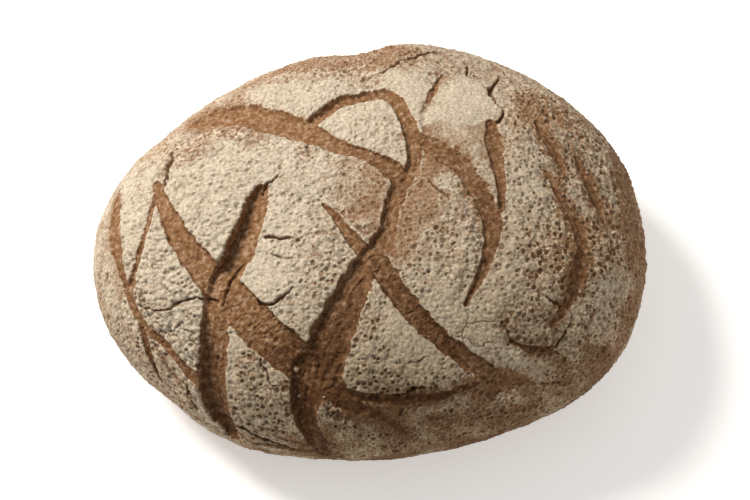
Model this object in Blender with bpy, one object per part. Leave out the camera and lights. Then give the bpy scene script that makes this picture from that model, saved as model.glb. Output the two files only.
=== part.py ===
# Mixed wheat sourdough loaf: an uncut round-oval country loaf, with a network of opened
# scores across its crown. Blender 4.5, run with: blender --background --python part.py
# The loaf is one solid that stands on a flat base, centred on the origin. Metres, +Z up.

import math

import bmesh
import bpy
import numpy as np
from mathutils import Vector, noise

MM = 0.001

# Driving sizes of the loaf, in millimetres
HALF_LENGTH = 137.3
HALF_WIDTH = 114.3
CROWN_HEIGHT = 112.0
WAIST_HEIGHT = 42.0

# The side turns from level at the crown to this angle at the foot, past upright at the waist
FOOT_TURN = math.radians(128)
SHOULDER_POWER = 0.85
DOME_POWER = 0.95
UNDERCUT_POWER = 1.1

# Slow swellings of the oval: number round the loaf, cosine share, sine share
PLAN_WAVES = ((2, 0.018, 0.030), (3, -0.013, -0.013), (4, 0.0, -0.010), (5, -0.008, 0.0))

# Local bulges and flats of the oval: direction and spread in degrees, share of the radius
PLAN_BULGES = (
    (24, 12, 0.010), (80, 14, 0.021), (94, 7, -0.037), (123, 9, 0.011), (222, 7, -0.013),
    (262, 9, -0.015), (293, 20, -0.007),
)

# Length of the crust from the crown down to the foot, along X and along Y
CRUST_X = 222.0
CRUST_Y = 198.0

# Relief, in millimetres
DEEPEST_CUT = 6.5
CUT_START_DEPTH = 1.3
CUT_DEPTH_PER_WIDTH = 0.62
WALL_WIDTH = 2.6
FLOOR_HOLLOW = 0.25
LUMPS = ((1.6, 46.0), (0.9, 17.0), (0.45, 7.0))
PUFF_HEIGHT = 1.6
PUFF_REACH = 16.0
FOOT_FADE = 0.06

# Mesh density: the shape is made fine, then thinned to this many triangles
CUBE_CUTS = 95
TRIANGLES = 11400

# Each score is a route across the crust, laid out flat from the crown: x, y, half width
SCORES = {
    "upper_left": (
        (-97, 57, 3), (-87, 59, 6.5), (-71, 57, 8), (-53, 46, 7.5), (-36, 36, 6.5),
        (-21, 26, 4), (-8, 20, 3), (3, 13, 4), (12, 3, 5),
    ),
    "arch": (
        (-33, 40, 2), (-27, 47, 3.5), (-15, 57, 4), (-2, 61, 3.5), (7, 56, 3.5),
        (13, 42, 3.5), (17, 27, 3.5), (17, 12, 3), (13, 3, 4),
    ),
    "right_arc": (
        (17, 29, 4.5), (29, 21, 5), (40, 11, 5.5), (48, -2, 5.5), (53, -17, 5),
        (52, -31, 3.5), (49, -46, 2), (43, -63, 0.6),
    ),
    "upright": ((54, 40, 2.5), (54, 30, 4), (56, 18, 3), (59, 4, 2), (58, -10, 1.5)),
    "centre": (
        (13, 5, 4), (8, -10, 3.5), (6, -25, 4), (-1, -39, 6.5), (-11, -53, 7),
        (-19, -71, 8.5), (-25, -87, 9.5), (-30, -97, 10),
    ),
    "short_cut": ((-23, -10, 0.5), (-17, -18, 1.8), (-10, -30, 3), (-3, -40, 4.5)),
    "right_diagonal": (
        (1, -43, 5.3), (11, -60, 5), (22, -73, 4.5), (36, -85, 4), (48, -93, 4),
        (60, -99, 5), (74, -101, 2.5),
    ),
    "left_diagonal": (
        (-106, 14, 1.8), (-98, -3, 4), (-87, -25, 6), (-77, -41, 7.3), (-66, -56, 9),
        (-50, -74, 9.8), (-35, -90, 9.2), (-24, -101, 7.5), (-14, -109, 3), (10, -112, 2.4),
        (32, -111, 2.2), (46, -105, 2.5), (60, -102, 3.5),
    ),
    "left_cross": (
        (-42, 14, 0.5), (-47, 2, 3.3), (-52, -9, 5.3), (-58, -24, 7.7), (-68, -42, 7.2),
        (-74, -58, 6.8), (-76, -74, 7.3), (-81, -92, 7.7), (-84, -112, 7.4), (-82, -127, 4),
    ),
    "front": ((-32, -94, 8.5), (-35, -108, 7.2), (-36, -122, 5), (-32, -136, 4.2), (-30, -148, 3.5)),
    "front_branch": ((-27, -104, 4), (-18, -112, 3.2), (-5, -117, 3), (5, -123, 1.5), (16, -132, 1.5)),
    "left_rim": (
        (-135, 21, 2.5), (-132, 6, 5.7), (-129, -10, 5), (-125, -27, 3), (-121, -43, 3.4),
        (-115, -60, 3.4), (-106, -71, 2.6), (-97, -85, 3), (-87, -95, 5.5),
    ),
    "left_rim_branch": ((-116, -58, 2.5), (-116, -70, 3.7), (-118, -81, 1.8), (-120, -95, 1)),
    "left_narrow": ((-104, 12, 2.3), (-106, -4, 1.9), (-109, -15, 2), (-114, -29, 2), (-120, -42, 2.2)),
    "right_first": ((76, 45, 0.8), (81, 35, 3.1), (86, 28, 3.4), (92, 15, 0.9)),
    "right_second": (
        (82, 16, 1), (87, 4, 2), (93, -6, 2.5), (98, -22, 4), (95, -44, 3.8), (90, -57, 3),
        (84, -68, 0.8),
    ),
    "right_third": ((98, 29, 1), (103, 19, 3), (109, 6, 3.1), (113, -6, 0.7)),
    "right_lens": ((65, -79, 0.8), (76, -81, 2.1), (88, -77, 0.8)),
    "top_gash": ((23, 50, 0.6), (26, 59, 2), (31, 71, 0.4)),
}
STEPS_PER_LEG = 14

CRUST_COLOUR = (0.42, 0.30, 0.19, 1.0)
CRUST_ROUGHNESS = 0.9


def clear_scene():
    for obj in list(bpy.data.objects):
        bpy.data.objects.remove(obj, do_unlink=True)


def smooth_step(value):
    value = np.clip(value, 0.0, 1.0)
    return value * value * (3.0 - 2.0 * value)


def side_profile():
    """Share of the crust's length, share of the radius and height, from the crown to the foot."""
    turn = np.linspace(0.0, FOOT_TURN, 2001)
    side, drop = np.sin(turn), np.abs(np.cos(turn))
    above = turn < math.pi / 2
    radius = np.where(above, side**SHOULDER_POWER, side)
    dome = WAIST_HEIGHT + (CROWN_HEIGHT - WAIST_HEIGHT) * drop**DOME_POWER
    undercut = WAIST_HEIGHT * (1.0 - (drop / abs(math.cos(FOOT_TURN))) ** UNDERCUT_POWER)
    height = np.where(above, dome, undercut)
    mean_radius = (HALF_LENGTH + HALF_WIDTH) / 2
    steps = np.hypot(np.diff(radius * mean_radius), np.diff(height))
    share = np.concatenate([[0.0], np.cumsum(steps)])
    return share / share[-1], radius, height


PROFILE = side_profile()


def bare_form(across, along):
    """Points of the unscored loaf, from places on the crust laid out flat from the crown."""
    u, v = across / CRUST_X, along / CRUST_Y
    angle = np.arctan2(v, u)
    share = np.hypot(u, v)
    radius = np.interp(share, PROFILE[0], PROFILE[1])
    height = np.interp(share, PROFILE[0], PROFILE[2])
    swelling = np.ones_like(angle)
    for count, cosine, sine in PLAN_WAVES:
        swelling += cosine * np.cos(count * angle) + sine * np.sin(count * angle)
    for direction, spread, share_out in PLAN_BULGES:
        turn = (np.degrees(angle) - direction + 180.0) % 360.0 - 180.0
        swelling += share_out * np.exp(-((turn / spread) ** 2))
    x = HALF_LENGTH * swelling * radius * np.cos(angle)
    y = HALF_WIDTH * swelling * radius * np.sin(angle)
    return np.stack([x, y, height], axis=-1)


def outward(across, along, step=0.5):
    """Unit normals of the unscored loaf."""
    along_x = bare_form(across + step, along) - bare_form(across - step, along)
    along_y = bare_form(across, along + step) - bare_form(across, along - step)
    normal = np.cross(along_x, along_y)
    return normal / np.linalg.norm(normal, axis=-1, keepdims=True)


def smooth_route(route):
    """A Catmull-Rom curve through a score's points: places on the loaf, and half widths."""
    knots = np.array(route, float)
    knots = np.vstack([2 * knots[0] - knots[1], knots, 2 * knots[-1] - knots[-2]])
    t = np.linspace(0.0, 1.0, STEPS_PER_LEG, endpoint=False)[:, None]
    legs = []
    for before, start, end, after in zip(knots[:-3], knots[1:-2], knots[2:-1], knots[3:]):
        bend = 2 * before - 5 * start + 4 * end - after
        twist = 3 * start - before - 3 * end + after
        legs.append(0.5 * (2 * start + (end - before) * t + bend * t**2 + twist * t**3))
    curve = np.vstack(legs + [knots[-2:-1]])
    return bare_form(curve[:, 0], curve[:, 1]), np.maximum(curve[:, 2], 0.3)


def score_relief(points):
    """How far each point lies below the unscored crust, and its distance from the nearest cut."""
    depth = np.zeros(len(points))
    nearest = np.full(len(points), 1000.0)
    for route in SCORES.values():
        centres, half_widths = smooth_route(route)
        for centre, half_width in zip(centres, half_widths):
            away = np.linalg.norm(points - centre, axis=1)
            edge = away - half_width
            nearest = np.minimum(nearest, edge)
            full = min(DEEPEST_CUT, CUT_START_DEPTH + CUT_DEPTH_PER_WIDTH * half_width)
            wall = smooth_step(0.5 - edge / WALL_WIDTH)
            hollow = 1.0 - FLOOR_HOLLOW * np.minimum(1.0, away / half_width) ** 2
            depth = np.maximum(depth, full * wall * hollow)
    return depth, nearest


def lumps(point):
    """Unevenness of the dough: three sizes of swelling."""
    return sum(height * noise.noise(Vector(point) / size) for height, size in LUMPS)


def crust_cube():
    """A cube with no bottom, cut fine, whose surface is wrapped round the loaf."""
    mesh = bmesh.new()
    bmesh.ops.create_cube(mesh, size=2.0)
    bottom = [face for face in mesh.faces if face.calc_center_median().z < -0.5]
    bmesh.ops.delete(mesh, geom=bottom, context="FACES_ONLY")
    bmesh.ops.subdivide_edges(mesh, edges=mesh.edges[:], cuts=CUBE_CUTS, use_grid_fill=True)
    return mesh


def wrap_crust(mesh):
    """Moves the cube's vertices to the loaf's crust, with the scores and the lumps."""
    cube = np.array([vertex.co[:] for vertex in mesh.verts])
    angle = np.arctan2(cube[:, 1], cube[:, 0])
    reach = 1.0 / np.maximum(np.abs(np.cos(angle)), np.abs(np.sin(angle)))
    polar = np.arctan2(np.hypot(cube[:, 0], cube[:, 1]), cube[:, 2])
    share = polar / (math.pi - np.arctan(reach))
    across = CRUST_X * share * np.cos(angle)
    along = CRUST_Y * share * np.sin(angle)
    points = bare_form(across, along)
    normals = outward(across, along)
    depth, edge = score_relief(points)
    puff = PUFF_HEIGHT * smooth_step(edge / PUFF_REACH) * np.clip(2.0 - 2.0 * share, 0.0, 1.0)
    swell = np.array([lumps(point) for point in points])
    fade = smooth_step((1.0 - share) / FOOT_FADE)
    points += normals * ((swell + puff - depth) * fade)[:, None]
    foot = share > 1.0 - 1e-6
    points[foot, 2] = 0.0
    for vertex, point in zip(mesh.verts, points):
        vertex.co = Vector(point) * MM


def thinned(fine_object):
    """The evaluated mesh of the fine crust after a Decimate modifier."""
    thin = fine_object.modifiers.new("thin", "DECIMATE")
    thin.ratio = TRIANGLES / (2 * len(fine_object.data.polygons))
    graph = bpy.context.evaluated_depsgraph_get()
    return bpy.data.meshes.new_from_object(fine_object.evaluated_get(graph))


def close_base(mesh):
    """Levels the foot and closes it with one flat face, split round its middle."""
    rim = [edge for edge in mesh.edges if edge.is_boundary]
    for edge in rim:
        for vertex in edge.verts:
            vertex.co.z = 0.0
    base = bmesh.ops.contextual_create(mesh, geom=rim)["faces"]
    bmesh.ops.poke(mesh, faces=base)
    bmesh.ops.recalc_face_normals(mesh, faces=mesh.faces[:])


def centre_on_origin(mesh):
    low = [min(vertex.co[axis] for vertex in mesh.verts) for axis in range(2)]
    high = [max(vertex.co[axis] for vertex in mesh.verts) for axis in range(2)]
    shift = Vector((-(low[0] + high[0]) / 2, -(low[1] + high[1]) / 2, 0.0))
    bmesh.ops.translate(mesh, vec=shift, verts=mesh.verts[:])


def crust_material():
    material = bpy.data.materials.new("baked_wheat_crust")
    material.use_nodes = True
    shader = material.node_tree.nodes["Principled BSDF"]
    shader.inputs["Base Color"].default_value = CRUST_COLOUR
    shader.inputs["Roughness"].default_value = CRUST_ROUGHNESS
    shader.inputs["Metallic"].default_value = 0.0
    return material


def build_loaf():
    collection = bpy.data.collections.new("mixed_wheat_sourdough_loaf")
    bpy.context.scene.collection.children.link(collection)

    fine = crust_cube()
    wrap_crust(fine)
    fine_mesh = bpy.data.meshes.new("fine_crust")
    fine.to_mesh(fine_mesh)
    fine.free()
    fine_object = bpy.data.objects.new("fine_crust", fine_mesh)
    collection.objects.link(fine_object)
    thin_mesh = thinned(fine_object)
    bpy.data.objects.remove(fine_object, do_unlink=True)

    solid = bmesh.new()
    solid.from_mesh(thin_mesh)
    close_base(solid)
    centre_on_origin(solid)
    solid.to_mesh(thin_mesh)
    solid.free()

    thin_mesh.name = "loaf"
    loaf = bpy.data.objects.new("loaf", thin_mesh)
    collection.objects.link(loaf)
    loaf.data.materials.append(crust_material())
    return loaf


clear_scene()
build_loaf()
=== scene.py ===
import functools
import itertools
import math

import bpy
import numpy as np
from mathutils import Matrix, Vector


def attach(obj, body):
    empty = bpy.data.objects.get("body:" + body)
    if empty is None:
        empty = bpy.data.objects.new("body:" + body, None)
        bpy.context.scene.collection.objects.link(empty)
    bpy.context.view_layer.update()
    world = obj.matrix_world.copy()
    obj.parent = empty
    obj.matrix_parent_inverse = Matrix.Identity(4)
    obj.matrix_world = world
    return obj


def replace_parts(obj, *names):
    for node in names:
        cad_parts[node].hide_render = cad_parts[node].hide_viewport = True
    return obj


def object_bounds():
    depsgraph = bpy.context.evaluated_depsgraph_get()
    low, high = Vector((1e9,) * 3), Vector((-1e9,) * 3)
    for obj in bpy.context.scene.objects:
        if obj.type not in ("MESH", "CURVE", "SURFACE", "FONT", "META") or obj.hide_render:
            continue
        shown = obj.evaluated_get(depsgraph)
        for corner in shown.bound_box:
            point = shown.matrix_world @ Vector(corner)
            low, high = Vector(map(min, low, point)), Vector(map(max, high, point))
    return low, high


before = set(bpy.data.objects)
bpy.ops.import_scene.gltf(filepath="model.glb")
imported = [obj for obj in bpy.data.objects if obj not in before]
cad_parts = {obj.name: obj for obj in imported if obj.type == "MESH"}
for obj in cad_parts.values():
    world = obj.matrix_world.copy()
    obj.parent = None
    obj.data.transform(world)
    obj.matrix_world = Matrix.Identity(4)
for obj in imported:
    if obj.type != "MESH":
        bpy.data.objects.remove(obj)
cadLow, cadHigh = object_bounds()

# Lengths are in millimetres up to the point where a mesh is made
metre = 0.001


def hexColour(text):
    # sRGB hex turned to the linear colour that shaders work in, by sRGB's own curve
    parts = [int(text[i:i + 2], 16) / 255 for i in (1, 3, 5)]
    return [c / 12.92 if c <= 0.04045 else ((c + 0.055) / 1.055) ** 2.4 for c in parts] + [1.0]


def smoothStep(value):
    # 0 below 0, 1 above 1, and an S between
    value = np.clip(value, 0.0, 1.0)
    return value * value * (3.0 - 2.0 * value)


def cellNumbers(cell, seed):
    # three numbers from 0 to 1 for each whole-numbered cell of space: its own three numbers are
    # multiplied and folded into 32 bits, and each result takes 10 of those
    mixed = cell[:, 0] * 374761393 + cell[:, 1] * 668265263 + cell[:, 2] * 2147483647 + seed * 144665
    for fold, factor in ((13, 1274126177), (16, 2246822519), (15, 3266489917)):
        mixed &= 0xFFFFFFFF
        mixed = (mixed ^ (mixed >> fold)) * factor
    mixed &= 0xFFFFFFFF
    return np.stack([(mixed >> shift) & 1023 for shift in (22, 12, 2)], axis=1) / 1023


def softNoise(points, size, seed):
    # smooth random swelling from about -0.8 to 0.8: each corner of a cell has a random slope, and a point
    # takes the eight slopes' heights above it, shared out by an S curve along each side of the cell
    place = points / size
    base = np.floor(place).astype(np.int64)
    inside = place - base
    curve = inside**3 * (inside * (inside * 6 - 15) + 10)
    total = np.zeros(len(points))
    for corner in itertools.product((0, 1), repeat=3):
        slope = cellNumbers(base + corner, seed) * 2 - 1
        height = np.sum(slope * (inside - corner), axis=1)
        total += height * np.prod(np.where(corner, curve, 1 - curve), axis=1)
    return total * 1.6


def blisterCells(points, pitch, seed):
    # each cell of space holds one blister at a random spot; gives the distance to the nearest spot and
    # to the next one, as shares of the pitch, and two random numbers for the nearest
    spread = 0.85            # how far a spot strays in its cell
    farOff = 9.0
    place = points / pitch
    base = np.floor(place).astype(np.int64)
    first = np.full(len(points), farOff)
    second = np.full(len(points), farOff)
    own = np.zeros((len(points), 2))
    for step in itertools.product((-1, 0, 1), repeat=3):
        numbers = cellNumbers(base + step, seed)
        away = np.linalg.norm(base + step + 0.5 + (numbers - 0.5) * spread - place, axis=1)
        nearer = away < first
        second = np.where(nearer, first, np.minimum(second, away))
        own[nearer] = (numbers[nearer] @ ((7.31, 2.93), (3.77, 9.71), (5.13, 4.39))) % 1.0
        first = np.where(nearer, away, first)
    return first, second, own[:, 0], own[:, 1]


loafForm = {
    "halfLength": 137.3,
    "halfWidth": 114.3,
    "crownHeight": 112.0,
    "waistHeight": 42.0,
    "footTurn": 128.0,       # degrees that the side turns through from crown to foot
    "shoulderPower": 0.85,
    "domePower": 0.95,
    "undercutPower": 1.1,
    "footRounding": 4.0,
    "crustX": 222.0,         # length of the crust from crown to foot, along X and along Y
    "crustY": 198.0,
    "planWaves": ((2, 0.018, 0.030), (3, -0.013, -0.013), (4, 0.0, -0.010), (5, -0.008, 0.0)),
    "planBulges": (
        (24, 12, 0.010), (80, 14, 0.021), (94, 7, -0.037), (123, 9, 0.011), (222, 7, -0.013),
        (262, 9, -0.015), (293, 20, -0.007),
    ),
}


def sideProfile(form):
    # radius is the sine of the turn, height its cosine, both to a power, so the shoulder is full;
    # share runs 0 to 1 along the crust from crown to foot, then 1 to 2 across the flat base
    steps = 2000
    turn = np.linspace(0.0, math.radians(form["footTurn"]), steps + 1)
    side, drop = np.sin(turn), np.abs(np.cos(turn))
    radius = np.where(turn < math.pi / 2, side ** form["shoulderPower"], side)
    rise = form["crownHeight"] - form["waistHeight"]
    dome = form["waistHeight"] + rise * drop ** form["domePower"]
    under = form["waistHeight"] * (1 - (drop / drop[-1]) ** form["undercutPower"])
    height = np.where(turn < math.pi / 2, dome, under)
    meanRadius = (form["halfLength"] + form["halfWidth"]) / 2
    share = np.concatenate([[0], np.cumsum(np.hypot(np.diff(radius * meanRadius), np.diff(height)))])
    crustLength = share[-1]
    even = np.linspace(0, 2, 2 * steps + 1)
    radius = np.interp(even, np.append(share / crustLength, 2.0), np.append(radius, 0.0))
    height = np.interp(even, np.append(share / crustLength, 2.0), np.append(height, 0.0))

    # the corner at the foot is rounded: near it both lines are averaged over the rounding's length
    reach = int(form["footRounding"] / crustLength * steps)
    window = np.hanning(2 * reach + 1)
    window /= window.sum()
    near = slice(steps - 3 * reach, steps + 3 * reach)
    wide = slice(steps - 4 * reach, steps + 4 * reach)
    for line in (radius, height):
        line[near] = np.convolve(line[wide], window, "same")[reach:-reach]
    return even, radius, height


profile = sideProfile(loafForm)


def bareForm(across, along, form=loafForm):
    # a place on the crust laid out flat from the crown is taken round the profile: its distance from
    # the crown is a share of the crust's length, and its direction is the angle round the oval
    u, v = across / form["crustX"], along / form["crustY"]
    angle, share = np.arctan2(v, u), np.hypot(u, v)
    radius = np.interp(share, profile[0], profile[1])
    height = np.interp(share, profile[0], profile[2])
    swelling = np.ones_like(angle)
    for count, cosine, sine in form["planWaves"]:
        swelling += cosine * np.cos(count * angle) + sine * np.sin(count * angle)
    for direction, spread, out in form["planBulges"]:
        turn = (np.degrees(angle) - direction + 180) % 360 - 180
        swelling += out * np.exp(-((turn / spread) ** 2))
    x = form["halfLength"] * swelling * radius * np.cos(angle)
    y = form["halfWidth"] * swelling * radius * np.sin(angle)
    return np.stack([x, y, height], axis=-1)


def outward(across, along, share):
    # the normal is square to two short steps over the form; the base's points straight down
    half, baseStart = 0.5, 1.05
    stepX = bareForm(across + half, along) - bareForm(across - half, along)
    stepY = bareForm(across, along + half) - bareForm(across, along - half)
    normal = np.cross(stepX, stepY)
    normal /= np.maximum(np.linalg.norm(normal, axis=1, keepdims=True), 1e-9)
    normal[share > baseStart] = (0, 0, -1)
    return normal


scoreSettings = {
    "deepest": 6.5,
    "startDepth": 1.3,
    "depthPerWidth": 0.62,
    "wallWidth": (0.8, 1.7),     # on the side the blade leaned to, and on the other
    "wallTurn": (-0.4, 0.4),     # how far over to each side the walls have those widths
    "floorHollow": 0.25,
    "raggedness": ((1.1, 6.0), (0.6, 2.6), (0.35, 1.4)),
    "healedRaggedness": 2.1,     # how much more ragged a cut is that healed in the oven
    "healedThinning": (0.55, 3.2),   # how much flour its stretched edges lost, and over what width
    "healedSkin": 0.12,          # and how much of the baked skin grew back over its floor
    "flourRim": (0.30, 1.1),     # flour that gathered along the edges of the plates, and over what width
    "undercut": 0.9,
    "undercutAt": (0.4, 1.2),    # how far past the edge, and over what width
    "undercutTurn": 0.6,         # how far over to one side the plate is undercut
    "healedBelow": (0.45, 0.3),  # openness under which a cut healed, and over what span
    "fullRaggedness": 4.5,       # half width from which a cut is fully ragged
    "leastRaggedness": 0.3,      # share of it that the narrowest cuts have
    "reach": 28,                 # how far from a cut the crust still rises to it
    # share of the full depth at even steps along each cut: the healed ones are nearly level
    "openness": {
        "upperLeft": (0.22, 0.32, 0.42, 0.5), "arch": (0.7, 0.5, 0.45, 0.6), "rightArc": (0.25, 0.3, 0.4),
        "upright": (0.35,), "centre": (0.5, 0.62, 0.7, 0.65), "shortCut": (0.6,),
        "centreSecond": (0.35, 0.5, 0.5),
        "rightDiagonal": (0.6, 0.5, 0.4, 0.12), "leftDiagonal": (0.4, 0.4, 0.45, 0.55, 0.4, 0.3, 0.14),
        "leftCross": (0.7, 1.2, 1.1, 0.4, 0.9, 0.9, 0.9), "front": (0.8, 0.8, 0.6, 0.3, 0.15),
        "frontBranch": (0.3, 0.2, 0.1),
        "leftRim": (0.3, 0.35, 0.5), "leftRimBranch": (0.6,), "leftNarrow": (0.4,),
        "rightFirst": (0.22,), "rightSecond": (0.16, 0.2, 0.25), "rightThird": (0.22,),
        "rightLens": (0.3,), "topGash": (0.3,),
    },
    "routes": {
        "upperLeft": (
            (-97, 57, 3), (-87, 59, 6.5), (-71, 57, 8), (-53, 46, 7.5), (-36, 36, 6.5),
            (-21, 26, 4), (-8, 20, 3), (3, 13, 4), (12, 3, 5),
        ),
        "arch": (
            (-33, 40, 2), (-27, 47, 3.5), (-15, 57, 4), (-2, 61, 3.5), (7, 56, 3.5),
            (13, 42, 3.5), (17, 27, 3.5), (17, 12, 3), (13, 3, 4),
        ),
        "rightArc": (
            (17, 29, 4.2), (29, 21, 4.6), (40, 11, 4.9), (48, -2, 4.8), (53, -17, 4.3),
            (52, -31, 3.2), (49, -46, 2), (43, -63, 0.8),
        ),
        "upright": ((54, 40, 2.5), (54, 30, 4), (56, 18, 3), (59, 4, 2), (58, -10, 1.5)),
        "centre": (
            (13, 5, 4), (8, -10, 3.5), (6, -25, 4), (-2, -39, 5.2), (-13, -54, 4.6),
            (-22, -71, 5.2), (-29, -87, 6.5), (-33, -97, 7.5),
        ),
        "centreSecond": (
            (3, -36, 3), (-4, -50, 3.4), (-11, -66, 4.2), (-17, -80, 5.6), (-23, -93, 7.2), (-26, -100, 8),
        ),
        "shortCut": ((-23, -10, 0.5), (-17, -18, 1.8), (-10, -30, 3), (-3, -40, 4.5)),
        "rightDiagonal": (
            (1, -43, 5.3), (11, -60, 5), (22, -73, 4.5), (36, -85, 4), (48, -93, 4),
            (60, -98, 4.2), (69, -99, 3), (76, -100, 1),
        ),
        "leftDiagonal": (
            (-106, 14, 1.8), (-98, -3, 4), (-87, -25, 6), (-77, -41, 7.3), (-66, -56, 9),
            (-50, -74, 9.8), (-35, -90, 9.2), (-24, -101, 7.5), (-14, -109, 3), (10, -112, 2.4),
            (32, -111, 2.0), (44, -106, 1.4), (52, -103, 0.8),
        ),
        "leftCross": (
            (-51, 0, 3.2), (-53, -6, 4.9), (-55, -14, 5.8), (-59, -25, 7.0), (-63, -34, 7.4), (-69, -45, 7.0),
            (-74, -58, 6.8), (-76, -74, 7.3), (-81, -92, 7.7), (-84, -112, 7.4), (-82, -127, 4),
        ),
        "front": ((-32, -94, 8.5), (-35, -108, 7.2), (-36, -122, 5), (-32, -136, 4.2), (-30, -148, 3.5)),
        "frontBranch": ((-27, -104, 4), (-18, -112, 3.2), (-5, -117, 3), (5, -123, 1.5), (16, -132, 1.5)),
        "leftRim": (
            (-135, 21, 1.5), (-132, 6, 3.8), (-129, -10, 3.8), (-125, -27, 2.2), (-121, -43, 2.3),
            (-115, -60, 2.3), (-106, -71, 1.9), (-97, -85, 2.2), (-87, -95, 4),
        ),
        "leftRimBranch": ((-116, -58, 2), (-116, -68, 2.4), (-118, -79, 1.4), (-120, -92, 0.8)),
        "leftNarrow": (
            (-104, 12, 1.8), (-106, -4, 1.2), (-109, -15, 1.3), (-114, -29, 1.6), (-120, -42, 1.9),
        ),
        "rightFirst": ((76, 45, 0.7), (81, 36, 2.4), (86, 28, 3.0), (91, 17, 0.8)),
        "rightSecond": (
            (83, 14, 0.8), (87, 4, 1.4), (93, -6, 1.7), (98, -22, 3.2), (96, -40, 3.6), (91, -56, 2.4),
            (85, -66, 0.8),
        ),
        "rightThird": ((98, 29, 0.8), (103, 19, 1.9), (109, 6, 2.1), (113, -6, 0.7)),
        "rightLens": ((66, -79, 0.6), (76, -81, 1.3), (86, -79, 0.6)),
        "topGash": ((24, 52, 0.6), (27, 60, 1.6), (30, 68, 1.2), (32, 74, 0.5)),
    },
}

crackSettings = {
    "depth": 2.4,
    "fullWidth": 0.8,
    "wallWidth": 0.7,
    "wander": ((1.6, 6.0), (0.5, 2.2)),   # how far a crack strays, and over what length
    "raggedness": 0.2,
    "routes": {
        "left": (
            (-114, -51, 0.4), (-108, -54, 0.5), (-100, -56, 0.5), (-91, -54, 0.5), (-83, -53, 0.6),
            (-75, -56, 0.6),
        ),
        "crossTip": ((-51, 0, 1.0), (-46, 5, 0.7), (-42, 9, 0.3)),
        "plate": ((-53, -58, 0.8), (-47, -60, 0.8), (-42, -57, 0.7), (-37, -52, 0.4)),
        "slit": ((-50, -26, 0.9), (-43, -27, 0.7), (-34, -29, 0.4)),
        "secondSlit": ((-49, -35, 0.4), (-43, -37, 0.5), (-37, -39, 0.3)),
        "crumb": ((-60, -36, 0.4), (-65, -43, 0.8), (-69, -50, 1.0), (-72, -58, 0.6)),
        "rim": ((-7, 75, 0.3), (4, 77, 0.6), (13, 83, 0.6), (23, 91, 0.8), (33, 97, 0.7)),
        "rimSecond": ((12, 89, 0.5), (17, 93, 0.8), (22, 96, 0.6)),
        "rimNick": ((44, 87, 0.4), (45, 81, 0.7), (44, 74, 0.4)),
        "upper": ((61, 76, 0.5), (56, 67, 0.7), (54, 60, 1.1), (58, 55, 0.8), (60, 47, 0.8), (57, 42, 0.8)),
        "top": ((23, 5, 0.4), (30, -3, 0.6), (34, -7, 0.4)),
        "tail": ((44, -62, 0.4), (44, -72, 0.3), (43, -80, 0.3), (44, -86, 0.2)),
        "crossing": ((36, -81, 0.3), (44, -81, 0.3), (51, -83, 0.3), (58, -80, 0.3)),
        "secondCrossing": ((44, -72, 0.3), (50, -71, 0.4), (56, -70, 0.3)),
        "lens": ((59, -68, 0.2), (63, -73, 0.3), (67, -79, 0.3)),
        "right": ((94, -64, 0.3), (91, -73, 0.5), (85, -83, 0.3)),
        "rightNick": ((80, -54, 0.3), (84, -55, 0.6), (88, -57, 0.6)),
        "low": ((-53, -86, 0.3), (-52, -91, 0.5), (-49, -100, 0.4)),
        "leftLow": ((-97, -96, 0.6), (-99, -102, 0.8), (-97, -109, 0.6)),
        "skirt": ((-85, -120, 0.8), (-72, -123, 0.9), (-58, -132, 0.8), (-45, -140, 0.7), (-34, -144, 0.5)),
        "line": ((16, -94, 0.3), (21, -93, 0.5), (27, -92, 0.3)),
        "shoulder": ((-100, 36, 0.5), (-101, 28, 1.1), (-101, 10, 0.6)),
        "underPlate": ((10, -111, 0.5), (19, -107, 0.6), (25, -106, 0.4)),
        "lensEnd": ((66, -79, 0.3), (78, -83, 0.2), (88, -78, 0.3), (92, -70, 0.3)),
        "farSide": ((-70, 118, 0.3), (-44, 127, 0.6), (-16, 131, 0.7), (12, 136, 0.6), (38, 133, 0.3)),
        "farSideLow": ((28, 152, 0.3), (52, 149, 0.6), (78, 139, 0.5), (96, 128, 0.3)),
        "farSideNick": ((-96, 100, 0.3), (-88, 112, 0.6), (-84, 124, 0.3)),
        "rightSide": ((158, -44, 0.3), (166, -18, 0.6), (167, 10, 0.6), (160, 34, 0.3)),
    },
}

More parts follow.
